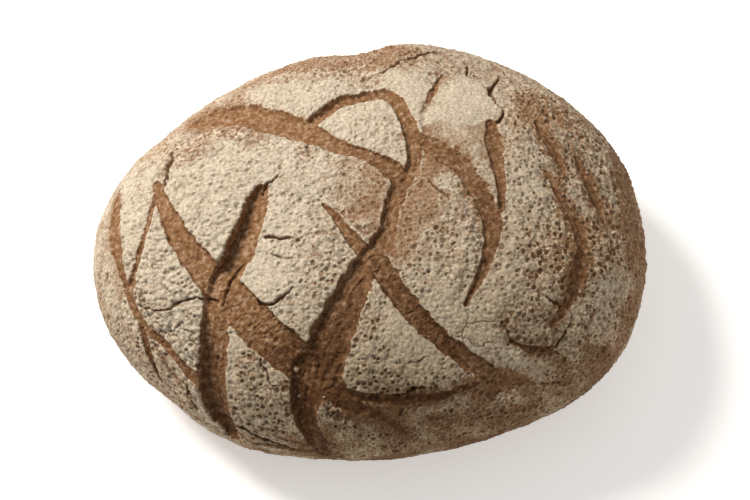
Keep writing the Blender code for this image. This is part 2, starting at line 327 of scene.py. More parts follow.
# Soft folds in the skin, which keep their flour
foldSettings = {
    "depth": 0.9,
    "fullWidth": 1.0,
    "wallWidth": 1.5,
    "wander": ((1.4, 7.0),),
    "raggedness": 0.4,
    # a fold's darkness is painted shade in its groove
    "share": 0.35,               # how dark a fold is, as a share of a crack
    "routes": {
        "gashFoot": ((27, 58, 1.0), (23, 47, 1.4), (22, 40, 1.3), (23, 33, 0.6)),
        "tipFirst": ((-13, -18, 0.4), (-6, -25, 0.6), (1, -24, 0.4)),
        "tipSecond": ((-10, -22, 0.3), (-5, -27, 0.5), (-1, -26, 0.3)),
        "teardrop": ((-20, 52, 0.6), (-15, 55, 0.8), (-7, 51, 0.6)),
        "nearFootFirst": ((-82, -122, 0.7), (-71, -132, 0.9), (-54, -137, 0.9), (-39, -144, 0.6)),
        "nearFootSecond": ((-66, -119, 0.5), (-54, -124, 0.8), (-40, -127, 0.6)),
        "nearFootThird": ((-60, -126, 0.5), (-49, -131, 0.8), (-38, -136, 0.5)),
        "leftFootFirst": ((-112, -66, 0.5), (-109, -78, 0.8), (-104, -92, 0.8), (-95, -104, 0.5)),
        "leftFootSecond": ((-122, -88, 0.4), (-112, -100, 0.8), (-100, -113, 0.5)),
        "leftSide": ((-118, -30, 0.5), (-115, -40, 0.9), (-117, -50, 0.5)),
        "leftSideLow": ((-110, -44, 0.5), (-113, -53, 0.8), (-112, -62, 0.5)),
        "topBand": ((-60, 84, 0.5), (-42, 86, 0.7), (-24, 84, 0.6), (-8, 80, 0.4)),
        "lowRight": ((70, -96, 0.4), (84, -99, 0.7), (98, -96, 0.6), (108, -90, 0.4)),
        "farFoot": ((-110, 128, 0.5), (-70, 152, 1.0), (-20, 166, 1.0), (40, 168, 0.8), (90, 150, 0.5)),
        "farMiddle": ((-20, 112, 0.4), (20, 117, 0.8), (58, 112, 0.6), (88, 96, 0.4)),
        "rightFoot": ((140, -92, 0.5), (168, -58, 1.0), (184, -12, 1.0), (176, 40, 0.6)),
        "rightMiddle": ((134, -20, 0.4), (139, 4, 0.8), (134, 28, 0.5)),
        "leftFoot": ((-168, -66, 0.5), (-184, -24, 1.0), (-182, 22, 1.0), (-162, 62, 0.5)),
    },
}


def smoothRoute(route, stepsPerLeg=16):
    # a Catmull-Rom curve: each leg is a cubic whose slope at a point is half the way between its neighbours
    knots = np.array(route, float)
    knots = np.vstack([2 * knots[0] - knots[1], knots, 2 * knots[-1] - knots[-2]])
    t = np.linspace(0, 1, stepsPerLeg, endpoint=False)[:, None]
    legs = []
    for before, start, end, after in zip(knots[:-3], knots[1:-2], knots[2:-1], knots[3:]):
        bend = 2 * before - 5 * start + 4 * end - after
        twist = 3 * start - before - 3 * end + after
        legs.append(0.5 * (2 * start + (end - before) * t + bend * t**2 + twist * t**3))
    curve = np.vstack(legs + [knots[-2:-1]])
    thinnest = 0.25
    return bareForm(curve[:, 0], curve[:, 1]), np.maximum(curve[:, 2], thinnest)


def nearRoute(points, places, halfWidths, margin):
    # for the points within the margin of a route: distance past its edge, distance from its middle with
    # a sign for the side, way along it, half width there and the direction away from it
    widest = 10
    low, high = places.min(axis=0) - margin - widest, places.max(axis=0) + margin + widest
    close = np.flatnonzero(np.all((points > low) & (points < high), axis=1))
    along = np.concatenate([[0], np.cumsum(np.linalg.norm(np.diff(places, axis=0), axis=1))])
    edge = np.full(len(close), 1e3)
    nearest = np.zeros(len(close), int)
    for index, (place, halfWidth) in enumerate(zip(places, halfWidths)):
        away = np.linalg.norm(points[close] - place, axis=1) - halfWidth
        better = away < edge
        edge[better] = away[better]
        nearest[better] = index
    keep = edge < margin
    close, edge, nearest = close[keep], edge[keep], nearest[keep]
    offset = points[close] - places[nearest]
    middle = np.linalg.norm(offset, axis=1)
    direction = offset / np.maximum(middle, 1e-6)[:, None]
    ahead = np.gradient(places, axis=0)[nearest]
    side = np.sign(ahead[:, 0] * offset[:, 1] - ahead[:, 1] * offset[:, 0])
    return close, edge, middle * side, along[nearest], halfWidths[nearest], direction


# How much flour lies on each part of the crust, how many burst blisters it has and how lumpy it is, all
# from 0 to 1: each spot is x, y on the crust laid out flat, and how far it reaches
crustAreas = {
    "bigPlate": (1.00, 0.35, 0.85, (
        (-72, 20, 11), (-88, 10, 11), (-66, 5, 14), (-75, -10, 12), (-72, -24, 9), (-50, 25, 10),
    )),
    "bigPlateBrownPatch": (0.22, 0.50, 0.85, (
        (-84, 37, 5), (-92, 34, 5), (-70, 40, 4), (-85, 26, 4), (-96, 27, 4), (-58, 36, 3),
    )),
    "bigPlateUpperEdge": (0.66, 0.50, 0.85, (
        (-99, 46, 6), (-77, 38, 4), (-52, 33, 6), (-32, 20, 6), (-104, 26, 5), (-79, 28, 4), (-64, 34, 4),
    )),
    "upperLeftSide": (0.26, 0.35, 0.60, (
        (-105, 62, 12), (-122, 46, 10), (-80, 76, 9), (-58, 88, 9), (-108, 46, 7),
    )),
    "topLeftPlate": (0.92, 0.35, 0.72, (
        (-50, 72, 10), (-34, 70, 10), (-36, 59, 7), (-62, 70, 7), (-20, 74, 6),
    )),
    "topLeftEdge": (0.27, 0.45, 0.80, ((-50, 82, 6), (-32, 83, 6), (-13, 80, 6), (-1, 72, 3))),
    "farRim": (0.06, 0.45, 0.80, (
        (-38, 90, 9), (-18, 90, 10), (2, 89, 9), (18, 94, 8), (-40, 112, 16), (0, 112, 16),
    )),
    "farRightRim": (0.50, 0.45, 0.70, ((36, 88, 9), (52, 92, 10), (44, 76, 8), (62, 72, 8), (30, 110, 14))),
    "topPlate": (0.95, 0.20, 0.40, ((18, 62, 8), (8, 70, 6), (20, 50, 6))),
    "topPlateBlisters": (0.70, 0.60, 0.60, ((27, 75, 6), (-4, 72, 5), (28, 52, 4))),
    "smoothPlate": (1.00, 0.02, 0.15, ((40, 54, 13), (54, 50, 8), (33, 42, 7))),
    "smoothPlateFoot": (0.36, 0.05, 0.30, ((38, 31, 6), (48, 26, 7), (29, 34, 5), (50, 34, 4))),
    "teardrop": (1.00, 0.15, 0.65, ((-17, 45, 8), (-4, 52, 8), (6, 46, 7), (-2, 31, 6))),
    "teardropPatch": (0.55, 0.25, 0.40, ((-7, 40, 4), (4, 36, 3))),
    "teardropTail": (0.80, 0.50, 0.60, ((2, 26, 5), (9, 16, 5))),
    "middlePlate": (0.85, 0.50, 0.70, ((-36, 6, 9), (-25, 12, 7), (-40, -10, 9), (-26, -6, 8))),
    "middlePlateThin": (0.12, 0.25, 0.45, ((-2, 8, 8), (0, -4, 9), (-8, -10, 6), (-2, -20, 7))),
    "middlePlateBetween": (0.52, 0.35, 0.70, ((-12, 12, 7), (-14, 0, 6), (-5, -26, 4))),
    "middlePlateLow": (0.75, 0.75, 0.80, (
        (-20, -22, 8), (-18, -34, 8), (-28, -42, 7), (-32, -28, 8), (-26, -58, 6),
    )),
    "lobe": (1.00, 0.25, 0.60, ((-52, -46, 8), (-47, -55, 6), (-46, -36, 8), (-40, -20, 6))),
    "lobeTail": (0.85, 0.60, 0.70, ((-35, -62, 7), (-31, -73, 7))),
    "leftPlate": (1.00, 0.30, 1.00, (
        (-104, -16, 7), (-100, -30, 9), (-112, -34, 7), (-95, -45, 9), (-86, -50, 6), (-94, -68, 9),
        (-90, -82, 8),
    )),
    "leftPlateCracked": (0.70, 0.50, 0.90, ((-105, -61, 6), (-112, -50, 5), (-108, -72, 5))),
    "leftSide": (0.62, 0.20, 0.50, (
        (-150, 2, 9), (-143, 14, 8), (-138, -40, 10), (-152, -20, 10), (-170, 0, 20), (-165, 40, 20),
    )),
    "leftSideCream": (0.80, 0.35, 0.70, (
        (-130, 30, 9), (-117, 6, 7), (-115, -12, 6), (-130, -52, 7), (-118, 22, 7),
    )),
    "nearLeftSide": (0.62, 0.50, 0.70, (
        (-124, -76, 8), (-112, -88, 8), (-104, -104, 9), (-140, -70, 9), (-96, -114, 8),
        (-150, -60, 16),
    )),
    "nearLeftFoot": (0.40, 0.30, 0.50, ((-130, -110, 18), (-150, -95, 16), (-100, -140, 16))),
    "nearPlateEdge": (0.85, 0.25, 0.50, ((-70, -80, 6), (-72, -94, 5), (-58, -76, 4), (-50, -92, 5))),
    "nearPlate": (0.62, 0.90, 0.70, (
        (-60, -90, 8), (-56, -104, 9), (-66, -108, 8), (-48, -112, 7), (-62, -121, 7),
    )),
    "nearRim": (0.28, 0.35, 0.50, (
        (-72, -130, 8), (-50, -130, 8), (-40, -145, 9), (-60, -145, 10), (-60, -165, 14),
    )),
    "nearRimGrey": (0.40, 0.20, 0.55, ((-12, -136, 7), (2, -140, 7), (10, -152, 7), (-15, -150, 9))),
    "nearRimBrown": (0.04, 0.20, 0.55, (
        (-24, -127, 5), (22, -132, 10), (45, -128, 12), (70, -126, 10), (50, -142, 12), (12, -119, 4),
        (-5, -127, 5), (3, -132, 5),
    )),
    "nearFlake": (0.74, 0.35, 0.90, ((-21, -115, 4), (-18, -121, 3))),
    "trianglePlate": (0.72, 1.00, 0.70, (
        (-3, -62, 7), (-3, -74, 8), (-10, -84, 8), (-3, -94, 8), (7, -100, 7), (16, -101, 6),
    )),
    "trianglePlateSmooth": (1.00, 0.10, 0.30, ((10, -75, 6), (15, -84, 6), (24, -91, 6), (-2, -54, 3))),
    "triangleFoot": (0.74, 0.85, 0.65, ((20, -102, 6), (34, -99, 5), (42, -94, 4))),
    "rightMiddleThin": (0.12, 0.20, 0.45, ((22, -6, 8), (20, -20, 9), (16, -34, 6), (24, 9, 5))),
    "rightMiddleGrey": (0.66, 0.65, 0.70, ((34, -8, 6), (39, -16, 6), (33, -26, 7), (28, -38, 7))),
    "rightMiddleLow": (0.85, 0.75, 0.85, ((42, -30, 6), (42, -42, 6), (36, -50, 6), (24, -52, 6))),
    "rightMiddleSmooth": (1.00, 0.15, 0.40, ((30, -60, 6), (35, -66, 7), (42, -76, 6), (50, -78, 6))),
    "wedge": (0.85, 0.30, 0.60, ((50, 14, 4), (55, 4, 4), (33, 2, 4))),
    "speckledPlate": (0.86, 0.95, 0.80, ((68, 14, 8), (70, 0, 9), (65, -14, 8), (76, 6, 7), (62, -42, 7))),
    "speckledPlateEdge": (0.70, 0.70, 0.70, (
        (66, 28, 8), (76, -14, 7), (65, -27, 6), (68, -46, 8), (80, -56, 6),
    )),
    "brownHoneycomb": (0.20, 0.85, 0.80, (
        (86, -22, 7), (82, -35, 8), (78, -44, 5), (104, -14, 6), (106, -30, 7), (74, -29, 5),
    )),
    "lowRight": (0.55, 0.60, 0.70, ((64, -64, 7), (72, -74, 6), (76, -66, 6), (80, -74, 4))),
    "lowRightCream": (0.85, 0.30, 0.60, ((55, -60, 6), (62, -88, 6), (70, -86, 4))),
    "upperRight": (0.09, 0.60, 0.85, (
        (72, 62, 9), (66, 46, 6), (86, 70, 9), (78, 48, 6), (94, 58, 9), (100, 44, 7),
    )),
    "rightStrips": (0.70, 0.75, 0.80, (
        (92, 40, 5), (95, 4, 6), (100, 22, 5), (107, 32, 6), (86, 12, 4), (118, 14, 5),
    )),
    "farRight": (0.22, 0.70, 0.85, ((116, 30, 8), (118, 0, 6), (118, -16, 8), (112, 50, 8))),
    "rightPlateLow": (0.80, 0.90, 0.80, ((110, -44, 7), (104, -58, 7), (116, -54, 6), (96, -78, 4))),
    "rightRim": (-0.05, 0.45, 0.80, (
        (138, 26, 12), (142, 0, 12), (140, -24, 9), (136, -50, 10), (170, 0, 24), (150, 50, 20),
    )),
    "rightRimPatches": (0.45, 0.50, 0.60, ((126, -30, 5), (124, -42, 5), (134, -34, 4), (122, -66, 5))),
    "lowRightDark": (0.02, 0.30, 0.65, (
        (102, -86, 8), (122, -84, 8), (58, -116, 8), (84, -118, 10), (130, -105, 18), (90, -140, 18),
        (68, -104, 5), (80, -102, 5),
    )),
    "lowRightGrey": (0.48, 0.30, 0.50, (
        (88, -92, 7), (96, -106, 6), (76, -106, 5), (40, -112, 5), (30, -116, 5),
    )),
    "farSide": (0.35, 0.30, 0.50, (
        (0, 140, 26), (-60, 130, 24), (60, 130, 24), (110, 90, 20), (-120, 90, 20), (0, 175, 30),
    )),
    "nearFoot": (0.16, 0.25, 0.40, (
        (0, -175, 24), (60, -160, 24), (-60, -180, 20), (120, -140, 24), (175, -60, 30),
    )),
}

# How dark the bare crust has baked, from 0 to 1, again by x, y and reach; partly painted shade, darker along
# the near side and lower right and paler at the upper left, where the key light falls
bakeAndShadeSpots = (
    (0.10, ((-110, 60, 50), (-75, 25, 40), (-50, 90, 40), (-140, 10, 35))),
    (0.30, ((0, 90, 35), (60, 85, 35), (-40, -20, 30), (-110, -50, 30), (0, 40, 30))),
    (0.50, ((20, -10, 30), (60, 30, 30), (110, 40, 35), (140, -10, 35), (-120, -90, 30), (0, 150, 50))),
    (0.65, ((90, -30, 30), (20, -70, 30), (-50, -110, 30), (120, -60, 30), (-170, -40, 40))),
    (0.30, ((60, -97, 12), (73, -98, 10), (48, -92, 7))),
    (0.15, ((-66, -56, 8), (-54, -69, 8))),
    (0.95, ((60, -120, 40), (0, -130, 35), (110, -100, 35), (0, -180, 50), (170, -100, 50), (-32, -112, 20))),
)

# The foot's look, and the share of the way from crown to foot where it starts and over what span
footLook = {"start": 0.84, "span": 0.12, "qualities": (0.12, 0.15, 0.3, 0.70)}


def blended(across, along, rows):
    # each spot's own numbers, averaged with weights that fall off as a bell round it. Far from every
    # spot only the first, faint weight is left, and the average comes to the first values over it
    faintWeight, faintValue = 1e-4, 0.4e-4
    softness = 1.05          # width of the bell, as a share of the spot's reach
    total = np.full(len(across), faintWeight)
    values = np.full((len(across), len(rows[0][0])), faintValue)
    for numbers, spots in rows:
        for x, y, reach in spots:
            weight = np.exp(-((across - x) ** 2 + (along - y) ** 2) / (softness * reach) ** 2)
            total += weight
            values += weight[:, None] * np.array(numbers)
    return (values / total[:, None]).T


def crustQualities(form, across, along, share):
    # flour, blisters, lumps and bake, which also holds painted shade: the areas' blends, their borders
    # strayed by noise, with patches of flour on the sides, led over to the foot's own look as the crust curls
    # under
    reach, length = crustRelief["stray"]
    across = across + reach * softNoise(form, length, 81)
    along = along + reach * softNoise(form, length, 82)
    flour, blisters, lumps = blended(across, along, [(row[:3], row[3]) for row in crustAreas.values()])
    (bake,) = blended(across, along, [((dark,), spots) for dark, spots in bakeAndShadeSpots])
    start, span = crustRelief["patchesShare"]
    gain, length, seed = crustRelief["patches"]
    flour += gain * softNoise(form, length, seed) * smoothStep((share - start) / span)
    foot = smoothStep((share - footLook["start"]) / footLook["span"])
    qualities = (flour, blisters, lumps, bake)
    return [value + (below - value) * foot for value, below in zip(qualities, footLook["qualities"])]


crustRelief = {
    "bay": 210,               # squares along the short side of a piece; a long side has twice as many
    "crowding": 0.8,          # spacing at the crown, as a share of even spacing
    "baseRings": 15,
    "seamDepth": 12.0,        # how far in the pieces' inner walls stand upright
    "heart": (0, 0, 50),      # the point inside where all the pieces meet
    "sharpAngle": 60,
    "swelling": ((0.7, 38.0, 1), (0.5, 15.0, 2)),      # height, size and seed
    "dimpling": (0.8, 6.0, 3),
    "puff": (0.9, 10.0),      # how much a plate rises from its edge, and over what distance
    "lip": (0.25, 1.6),       # height and width of the lip along a score
    "pebblePitch": 2.2,
    "pebbleHeight": 0.85,
    "pinholeShare": 0.24,
    "pinholeDepth": 1.4,
    "pinholeRadius": (0.5, 0.3),    # in pitches, and the width of its side
    "lumpPitch": 4.4,
    "lumpHeight": 1.0,
    "lumpsFrom": 0.45,          # how lumpy an area must be before lumps show
    "domeReach": (0.72, 0.75),  # where a pebble's and a lump's dome reaches its foot, in pitches
    "thinFlour": (0.58, 0.25),  # flour under which the pebbles' borders show pale, and over what span
    "pitPitch": 3.4,
    "pitRadius": (0.26, 0.46),  # smallest and largest, as shares of the pitch
    "pitDepth": 0.75,
    "pitRim": 0.22,
    "pitRimAt": (0.1, 0.09),    # how far outside the pit its rim stands, and how wide, in pitches
    "pitSlope": 0.16,
    "pitWall": 0.22,            # thickness of the wall left between two pits, in pitches
    "pitChance": (1.25, 0.1),   # chance of a pit in a fully blistered area, and over what span it fades
    "smoothest": 0.12,          # share of the relief that the smoothest plates keep
    "rimCalm": (0.55, 0.25, 0.22),  # where the relief starts to fade, over what share, and by how much
    "skirt": (0.9, (26.0, 26.0, 6.0), 7),   # height, size along each axis and seed of the foot's long folds
    "skirtShare": (0.62, 0.15),     # where they start, and over what share they grow
    "patches": (0.34, 15.0, 83),    # how uneven the flour is on shoulder and sides, and over what length
    "patchesShare": (0.38, 0.22),
    "grain": (0.25, 1.3, 6),
    "bend": (0.5, 3.0),         # how far the cells' outlines wander, and over what length
    "stray": (4.5, 10.0),       # the same for the areas of flour
    # the creases' bareness also sets the painted shade that the material draws along the cells' borders
    "crease": (0.5, 0.4),       # how bare the cells' borders are, and how wide, in pitches
    "veins": (0.80, 0.3),       # how strongly thin flour gathers along them, and how wide
    "lumpCrease": (0.6, 0.2),   # the same as crease, for lumps
    "tear": (0.60, 14.0, 2.2),  # height, length along the cut and width across it
    "crumbHeight": 0.32,
    "crumbSize": 2.8,
    "crumbGrain": (0.5, 1.2),   # share of the folds' height, and size
    "crumbPebbles": 0.15,       # share of the pebbles' height that still shows
    "wrinkle": (0.45, 5.5, 0.07),   # depth, spacing and width of the fine splits in the scores' floors
    "leanOfCut": (0.75, -0.60, 0.0),    # the way the blade leaned, so the floor's deeper side
    "leanShare": 0.35,
    "base": (0.985, 0.03),      # where the flat base starts, and over what share
    "baseRelief": (0.3, 9.0, 51),
}

# Single large bubbles whose skin burst and left a standing rim: x, y on the crust laid out flat, radius
burstBubbles = {
    "rimWidth": 0.6,
    "rimHeight": 0.35,
    "depth": 0.6,
    "wobble": 1.8,           # how far the circle wanders
    "slope": 0.9,            # width of the bowl's side
    "places": (
        (-24, -111, 2.1), (-20, -119, 3.4), (-25, -119, 1.8), (-136, -29, 2.4), (-101, -11, 1.1),
        (-89, -48, 1.1), (-103, -25, 1.3), (109, -35, 1.6), (145, -9, 2.0), (120, -74, 1.7),
        (144, -80, 1.6), (62, -106, 4.4), (82, -83, 1.8), (38, 22, 1.2),
    ),
}


def crustLayout(relief):
    # a square grid is drawn into a disc, each side bending to an arc: x goes to x times the root of
    # 1 - y y / 2. Its rim is the foot, and rings carry that on across the base to the middle
    side = 4 * relief["bay"] + 1
    line = np.linspace(-1, 1, side)
    line = line * (relief["crowding"] + (1 - relief["crowding"]) * line**2)
    x, y = (grid.ravel() for grid in np.meshgrid(line, line))
    disc = np.stack([x * np.sqrt(1 - y**2 / 2), y * np.sqrt(1 - x**2 / 2)], axis=1)
    number = np.arange(side * side).reshape(side, side)
    rim = np.concatenate([number[0, :-1], number[:-1, -1], number[-1, :0:-1], number[:0:-1, 0]])
    out = 1 + np.arange(1, relief["baseRings"]) / relief["baseRings"]
    base = (out[:, None, None] * disc[rim]).reshape(-1, 2)
    rings = np.vstack([rim, side * side + np.arange(len(base)).reshape(len(out), len(rim))])
    return np.vstack([disc, base, [[2.0, 0.0]]]), number, rings


def cutScores(form, relief):
    # every score's walls and floor: a wall falls away where the ragged edge is passed, the floor is
    # hollow, lies deeper on the side the blade leaned to, and is torn lengthwise. Gives each place's
    # depth, its distance past the nearest edge, how far up the wall it is, the wall's push outwards
    # that undercuts the plate, the tears' height, and the flour lost to a healed cut's stretched edge
    ragged = np.zeros(len(form))
    for seed, (size, length) in enumerate(scoreSettings["raggedness"], start=20):
        ragged += size * softNoise(form, length, seed)
    lean = np.array(relief["leanOfCut"])
    tearHeight, tearLength, tearWidth = relief["tear"]
    depth = np.zeros(len(form))
    farOff = 30.0
    nearest = np.full(len(form), farOff)
    wallPlace = np.full(len(form), farOff)
    push = np.zeros_like(form)
    torn, thinned = np.zeros(len(form)), np.zeros(len(form))
    loss, fade = scoreSettings["healedThinning"]
    healedStart, healedSpan = scoreSettings["healedBelow"]
    undercutMiddle, undercutWidth = scoreSettings["undercutAt"]
    for number, (name, route) in enumerate(scoreSettings["routes"].items()):
        line, halfWidths = smoothRoute(route)
        close, edge, signed, way, half, direction = nearRoute(form, line, halfWidths, scoreSettings["reach"])
        steps = scoreSettings["openness"][name]
        length = np.linalg.norm(np.diff(line, axis=0), axis=1).sum()
        openness = np.interp(way / length, np.linspace(0, 1, len(steps)), steps)
        healed = smoothStep((healedStart - openness) / healedSpan)
        wild = 1 + (scoreSettings["healedRaggedness"] - 1) * healed
        calm = np.clip(half / scoreSettings["fullRaggedness"], scoreSettings["leastRaggedness"], 1.0)
        edge = edge + ragged[close] * wild * calm
        across = np.minimum(1, np.abs(signed) / half)
        side = direction @ lean * across
        width = np.interp(side, scoreSettings["wallTurn"], scoreSettings["wallWidth"])
        full = scoreSettings["startDepth"] + scoreSettings["depthPerWidth"] * half
        full = np.minimum(scoreSettings["deepest"], full) * openness
        wall = np.clip(0.5 - edge / width, 0, 1)
        hollow = 1 - scoreSettings["floorHollow"] * across**2 - relief["leanShare"] * side
        cut = full * wall * hollow
        deeper = cut > depth[close]
        depth[close] = np.maximum(depth[close], cut)
        first = edge < nearest[close]
        hit = close[first]
        nearest[hit] = edge[first]
        wallPlace[hit] = np.maximum(edge / width, scoreSettings["healedSkin"] - 2 * (1 - healed))[first]
        reach = np.exp(-(((edge[first] - undercutMiddle) / undercutWidth) ** 2))
        reach = reach * full[first] / scoreSettings["deepest"]
        reach *= np.clip(scoreSettings["undercutTurn"] - side[first], 0, 1)
        push[hit] = -direction[first] * (reach * scoreSettings["undercut"])[:, None]
        thinned[hit] = (loss * healed * np.exp(-((np.maximum(edge, 0) / fade) ** 2)))[first]
        apart = np.full(len(way), 7.3 * number)      # so that no two cuts share their tears
        stretched = np.stack([way / tearLength, signed / tearWidth, apart], axis=1)
        torn[close[deeper]] = tearHeight * softNoise(stretched[deeper], 1.0, 31)
    return depth, nearest, wallPlace, push, torn, thinned


def grooves(form, normal, settings):
    # how far each place is inside a crack or fold, from 0 to 1: noise bends it along the surface and
    # roughens its edge
    inside = np.zeros(len(form))
    ragged = softNoise(form, 2.0, 41) * settings["raggedness"]
    offset = np.zeros_like(form)
    for seed, (reach, length) in enumerate(settings["wander"], start=42):
        for axis in range(3):
            offset[:, axis] += reach * softNoise(form, length, seed + 10 * axis)
    strayed = form + offset - np.sum(offset * normal, axis=1, keepdims=True) * normal
    for route in settings["routes"].values():
        line, halfWidths = smoothRoute(route)
        close, edge, _, _, half, _ = nearRoute(strayed, line, halfWidths, margin=4)
        here = smoothStep(0.5 - (edge + ragged[close]) / settings["wallWidth"])
        here *= np.minimum(1, half / settings["fullWidth"])
        inside[close] = np.maximum(inside[close], here)
    return inside


def burstRims(form, bubbles, wander):
    # a bubble's rim stands up as a bell round its circle, which wanders and breaks, and its inside is a bowl
    rim, bowl = np.zeros(len(form)), np.zeros(len(form))
    broken = softNoise(form, 2.5, 72)
    for x, y, radius in bubbles["places"]:
        centre = bareForm(np.array([float(x)]), np.array([float(y)]))
        away = np.linalg.norm(form - centre, axis=1)
        close = np.flatnonzero(away < radius + 3)
        away = away[close] + bubbles["wobble"] * wander[close]
        here = np.exp(-(((away - radius) / bubbles["rimWidth"]) ** 2)) * smoothStep(0.8 + 1.5 * broken[close])
        rim[close] = np.maximum(rim[close], here)
        bowl[close] = np.maximum(bowl[close], smoothStep((radius - away) / bubbles["slope"]))
    return rim, bowl


def bakedSkin(form, share, flour, blisters, lumps, relief):
    # the skin's own relief. Every cell is a small dome, 1 less its distance squared, or a pinhole; larger
    # domes of the same shape lift the lumpy plates; and burst blisters are bowls with a raised rim.
    # Also gives how burst each place is: 1 in a bowl, more in pinholes and bare creases, below 0 on its rim
    # and, where the flour is thin, along the cells' borders; the material takes flour away by it and paints
    # shade by it
    reach, length = relief["bend"]
    bent = form + reach * np.stack([softNoise(form, length, seed) for seed in (61, 62, 63)], axis=1)

    # pebbles and pinholes, with bare creases between them, which also get painted shade, or pale ones where
    # the flour is thin
    first, second, chance, own = blisterCells(bent, relief["pebblePitch"], 3)
    pebbleReach, lumpReach = relief["domeReach"]
    pebble = relief["pebbleHeight"] * (0.5 + own) * (1 - (first / pebbleReach) ** 2)
    thinStart, thinSpan = relief["thinFlour"]
    thin = smoothStep((thinStart - flour) / thinSpan)
    bareness, width = relief["crease"]
    crease = bareness * smoothStep(1 - (second - first) / width) * (1 - thin)
    gathered, width = relief["veins"]
    crease -= gathered * smoothStep(1 - (second - first) / width) * thin
    radius, slope = relief["pinholeRadius"]
    isPinhole = chance < relief["pinholeShare"] * (1 - 0.5 * blisters)
    pinhole = isPinhole * smoothStep((radius - first) / slope)
    pebble -= relief["pinholeDepth"] * pinhole
    pebble *= 1 - 0.45 * blisters

    # lumps
    first, second, _, own = blisterCells(bent, relief["lumpPitch"], 9)
    lumpy = smoothStep((lumps - relief["lumpsFrom"]) * 2)
    lump = relief["lumpHeight"] * (0.4 + own) * (1 - (first / lumpReach) ** 2) * lumpy
    bareness, width = relief["lumpCrease"]
    crease += bareness * smoothStep(1 - (second - first) / width) * lumpy

    # burst blisters: a cell has one if its chance is under the area's number
    first, second, chance, own = blisterCells(bent, relief["pitPitch"], 15)
    radius = np.interp(own, (0, 1), relief["pitRadius"])
    most, span = relief["pitChance"]
    burst = smoothStep((blisters * most - chance) / span + 0.5)
    bowl = burst * smoothStep((radius - first) / relief["pitSlope"] + 0.5)
    bowl *= smoothStep((second - first) / relief["pitWall"])
    outside, width = relief["pitRimAt"]
    rim = burst * np.exp(-(((first - radius - outside) / width) ** 2))

    # all of it together, calmer on the smooth plates and towards the rim
    height = relief["dimpling"][0] * softNoise(form, *relief["dimpling"][1:]) + lump
    height += pebble * (1 - 0.7 * bowl) + relief["pitRim"] * rim - relief["pitDepth"] * bowl
    size, length, seed = relief["grain"]
    smoothest = relief["smoothest"]
    height = height * (smoothest + (1 - smoothest) * lumps) + size * softNoise(form, length, seed)
    start, span, loss = relief["rimCalm"]
    height *= 1 - loss * smoothStep((share - start) / span)
    # bowls, rims, pinholes and creases go into one value that the material turns into lost flour and painted
    # shade
    burst = (bowl - 0.4 * rim) * (0.25 + 0.6 * blisters) + 0.8 * pinhole * lumps
    return height, burst + crease * (1 - bowl) * (0.2 + 0.8 * lumps), pebble


def tornCrumb(bent, torn, pebble, relief):
    # a score's floor: curling folds, the noise's own size turned over so that its zeros stand up as
    # ridges, over the lengthwise tears and traces of pebbles. A larger noise's zeros, where another
    # noise lets them, are fine splits; also gives how far each place is inside one
    fold = 0.5 - np.abs(softNoise(bent, relief["crumbSize"], 33)) * 3
    share, length = relief["crumbGrain"]
    fold += share * softNoise(bent, length, 34)
    depth, spacing, width = relief["wrinkle"]
    split = smoothStep(1 - np.abs(softNoise(bent, spacing, 35)) / width)
    split *= smoothStep(0.5 + 3 * softNoise(bent, 9.0, 36))
    height = torn + relief["crumbHeight"] * fold + relief["crumbPebbles"] * pebble
    return height - depth * split, split


def crustSurface(relief, places):
    # the bare form, pushed out along its normal by swelling, plates that puff up between the scores, a
    # lip along each score and the baked skin's relief, and pushed in by scores, cracks and bubbles
    across, along = places[:, 0] * loafForm["crustX"], places[:, 1] * loafForm["crustY"]
    share = np.hypot(places[:, 0], places[:, 1])
    form = bareForm(across, along)
    normal = outward(across, along, share)
    flour, blisters, lumps, bake = crustQualities(form, across, along, share)
    depth, nearest, wallPlace, push, torn, thinned = cutScores(form, relief)
    crack, fold = grooves(form, normal, crackSettings), grooves(form, normal, foldSettings)
    wander = softNoise(form, 3.0, 71)
    rim, bowl = burstRims(form, burstBubbles, wander)
    print("scores, cracks and bubbles placed")

    skin, burst, pebble = bakedSkin(form, share, flour, blisters, lumps, relief)
    crumb, split = tornCrumb(form + 0.8 * wander[:, None], torn, pebble, relief)
    inScore = smoothStep(0.9 - wallPlace)
    height = burstBubbles["rimHeight"] * rim - burstBubbles["depth"] * bowl
    for size, length, seed in relief["swelling"]:
        height += size * softNoise(form, length, seed)
    size, lengths, seed = relief["skirt"]
    start, span = relief["skirtShare"]
    height += size * softNoise(form / lengths, 1.0, seed) * smoothStep((share - start) / span)
    size, length = relief["puff"]
    height += size * (smoothStep(nearest / length) - 0.5) * np.clip(2 - 2 * share, 0, 1)
    size, width = relief["lip"]
    height += size * np.exp(-((np.maximum(nearest, 0) / width) ** 2)) * (1 - inScore)
    height += skin * (1 - inScore) + crumb * inScore - depth
    height -= crackSettings["depth"] * crack + foldSettings["depth"] * fold * (1 - inScore)
    start, span = relief["base"]
    onBase = smoothStep((share - start) / span)
    size, length, seed = relief["baseRelief"]
    height = height * (1 - onBase) - onBase * (size + size * softNoise(form, length, seed))
    points = form + normal * height[:, None] + push * (1 - onBase)[:, None]
    points[:, 2] = np.maximum(points[:, 2], 0.0)
    print("crust relief worked out")

    # flour gathers at the edges of bare plates, and the stretched edges of healed cuts lose theirs
    gain, width = scoreSettings["flourRim"]
    gathered = gain * np.exp(-((np.maximum(nearest - 0.3, 0) / width) ** 2)) * (1 - flour)
    gathered -= thinned * (1 + wander) + 0.5 * gathered * (thinned > 0.1)
    qualities = {
        "scoreEdge": np.maximum(wallPlace, 2 * rim - 0.8),
        "flour": np.clip(flour + 0.2 * rim + gathered, 0, 1),
        "burst": (burst * (1 - inScore) + 0.5 * bowl) * (1 - onBase),
        "bake": bake,
        # cracks, splits in the floors and folds, which the material strips of flour and paints darker as
        # shade
        "crack": np.maximum(crack, np.maximum(0.5 * split * inScore, foldSettings["share"] * fold)),
    }
    return points, form - relief["seamDepth"] * normal, qualities


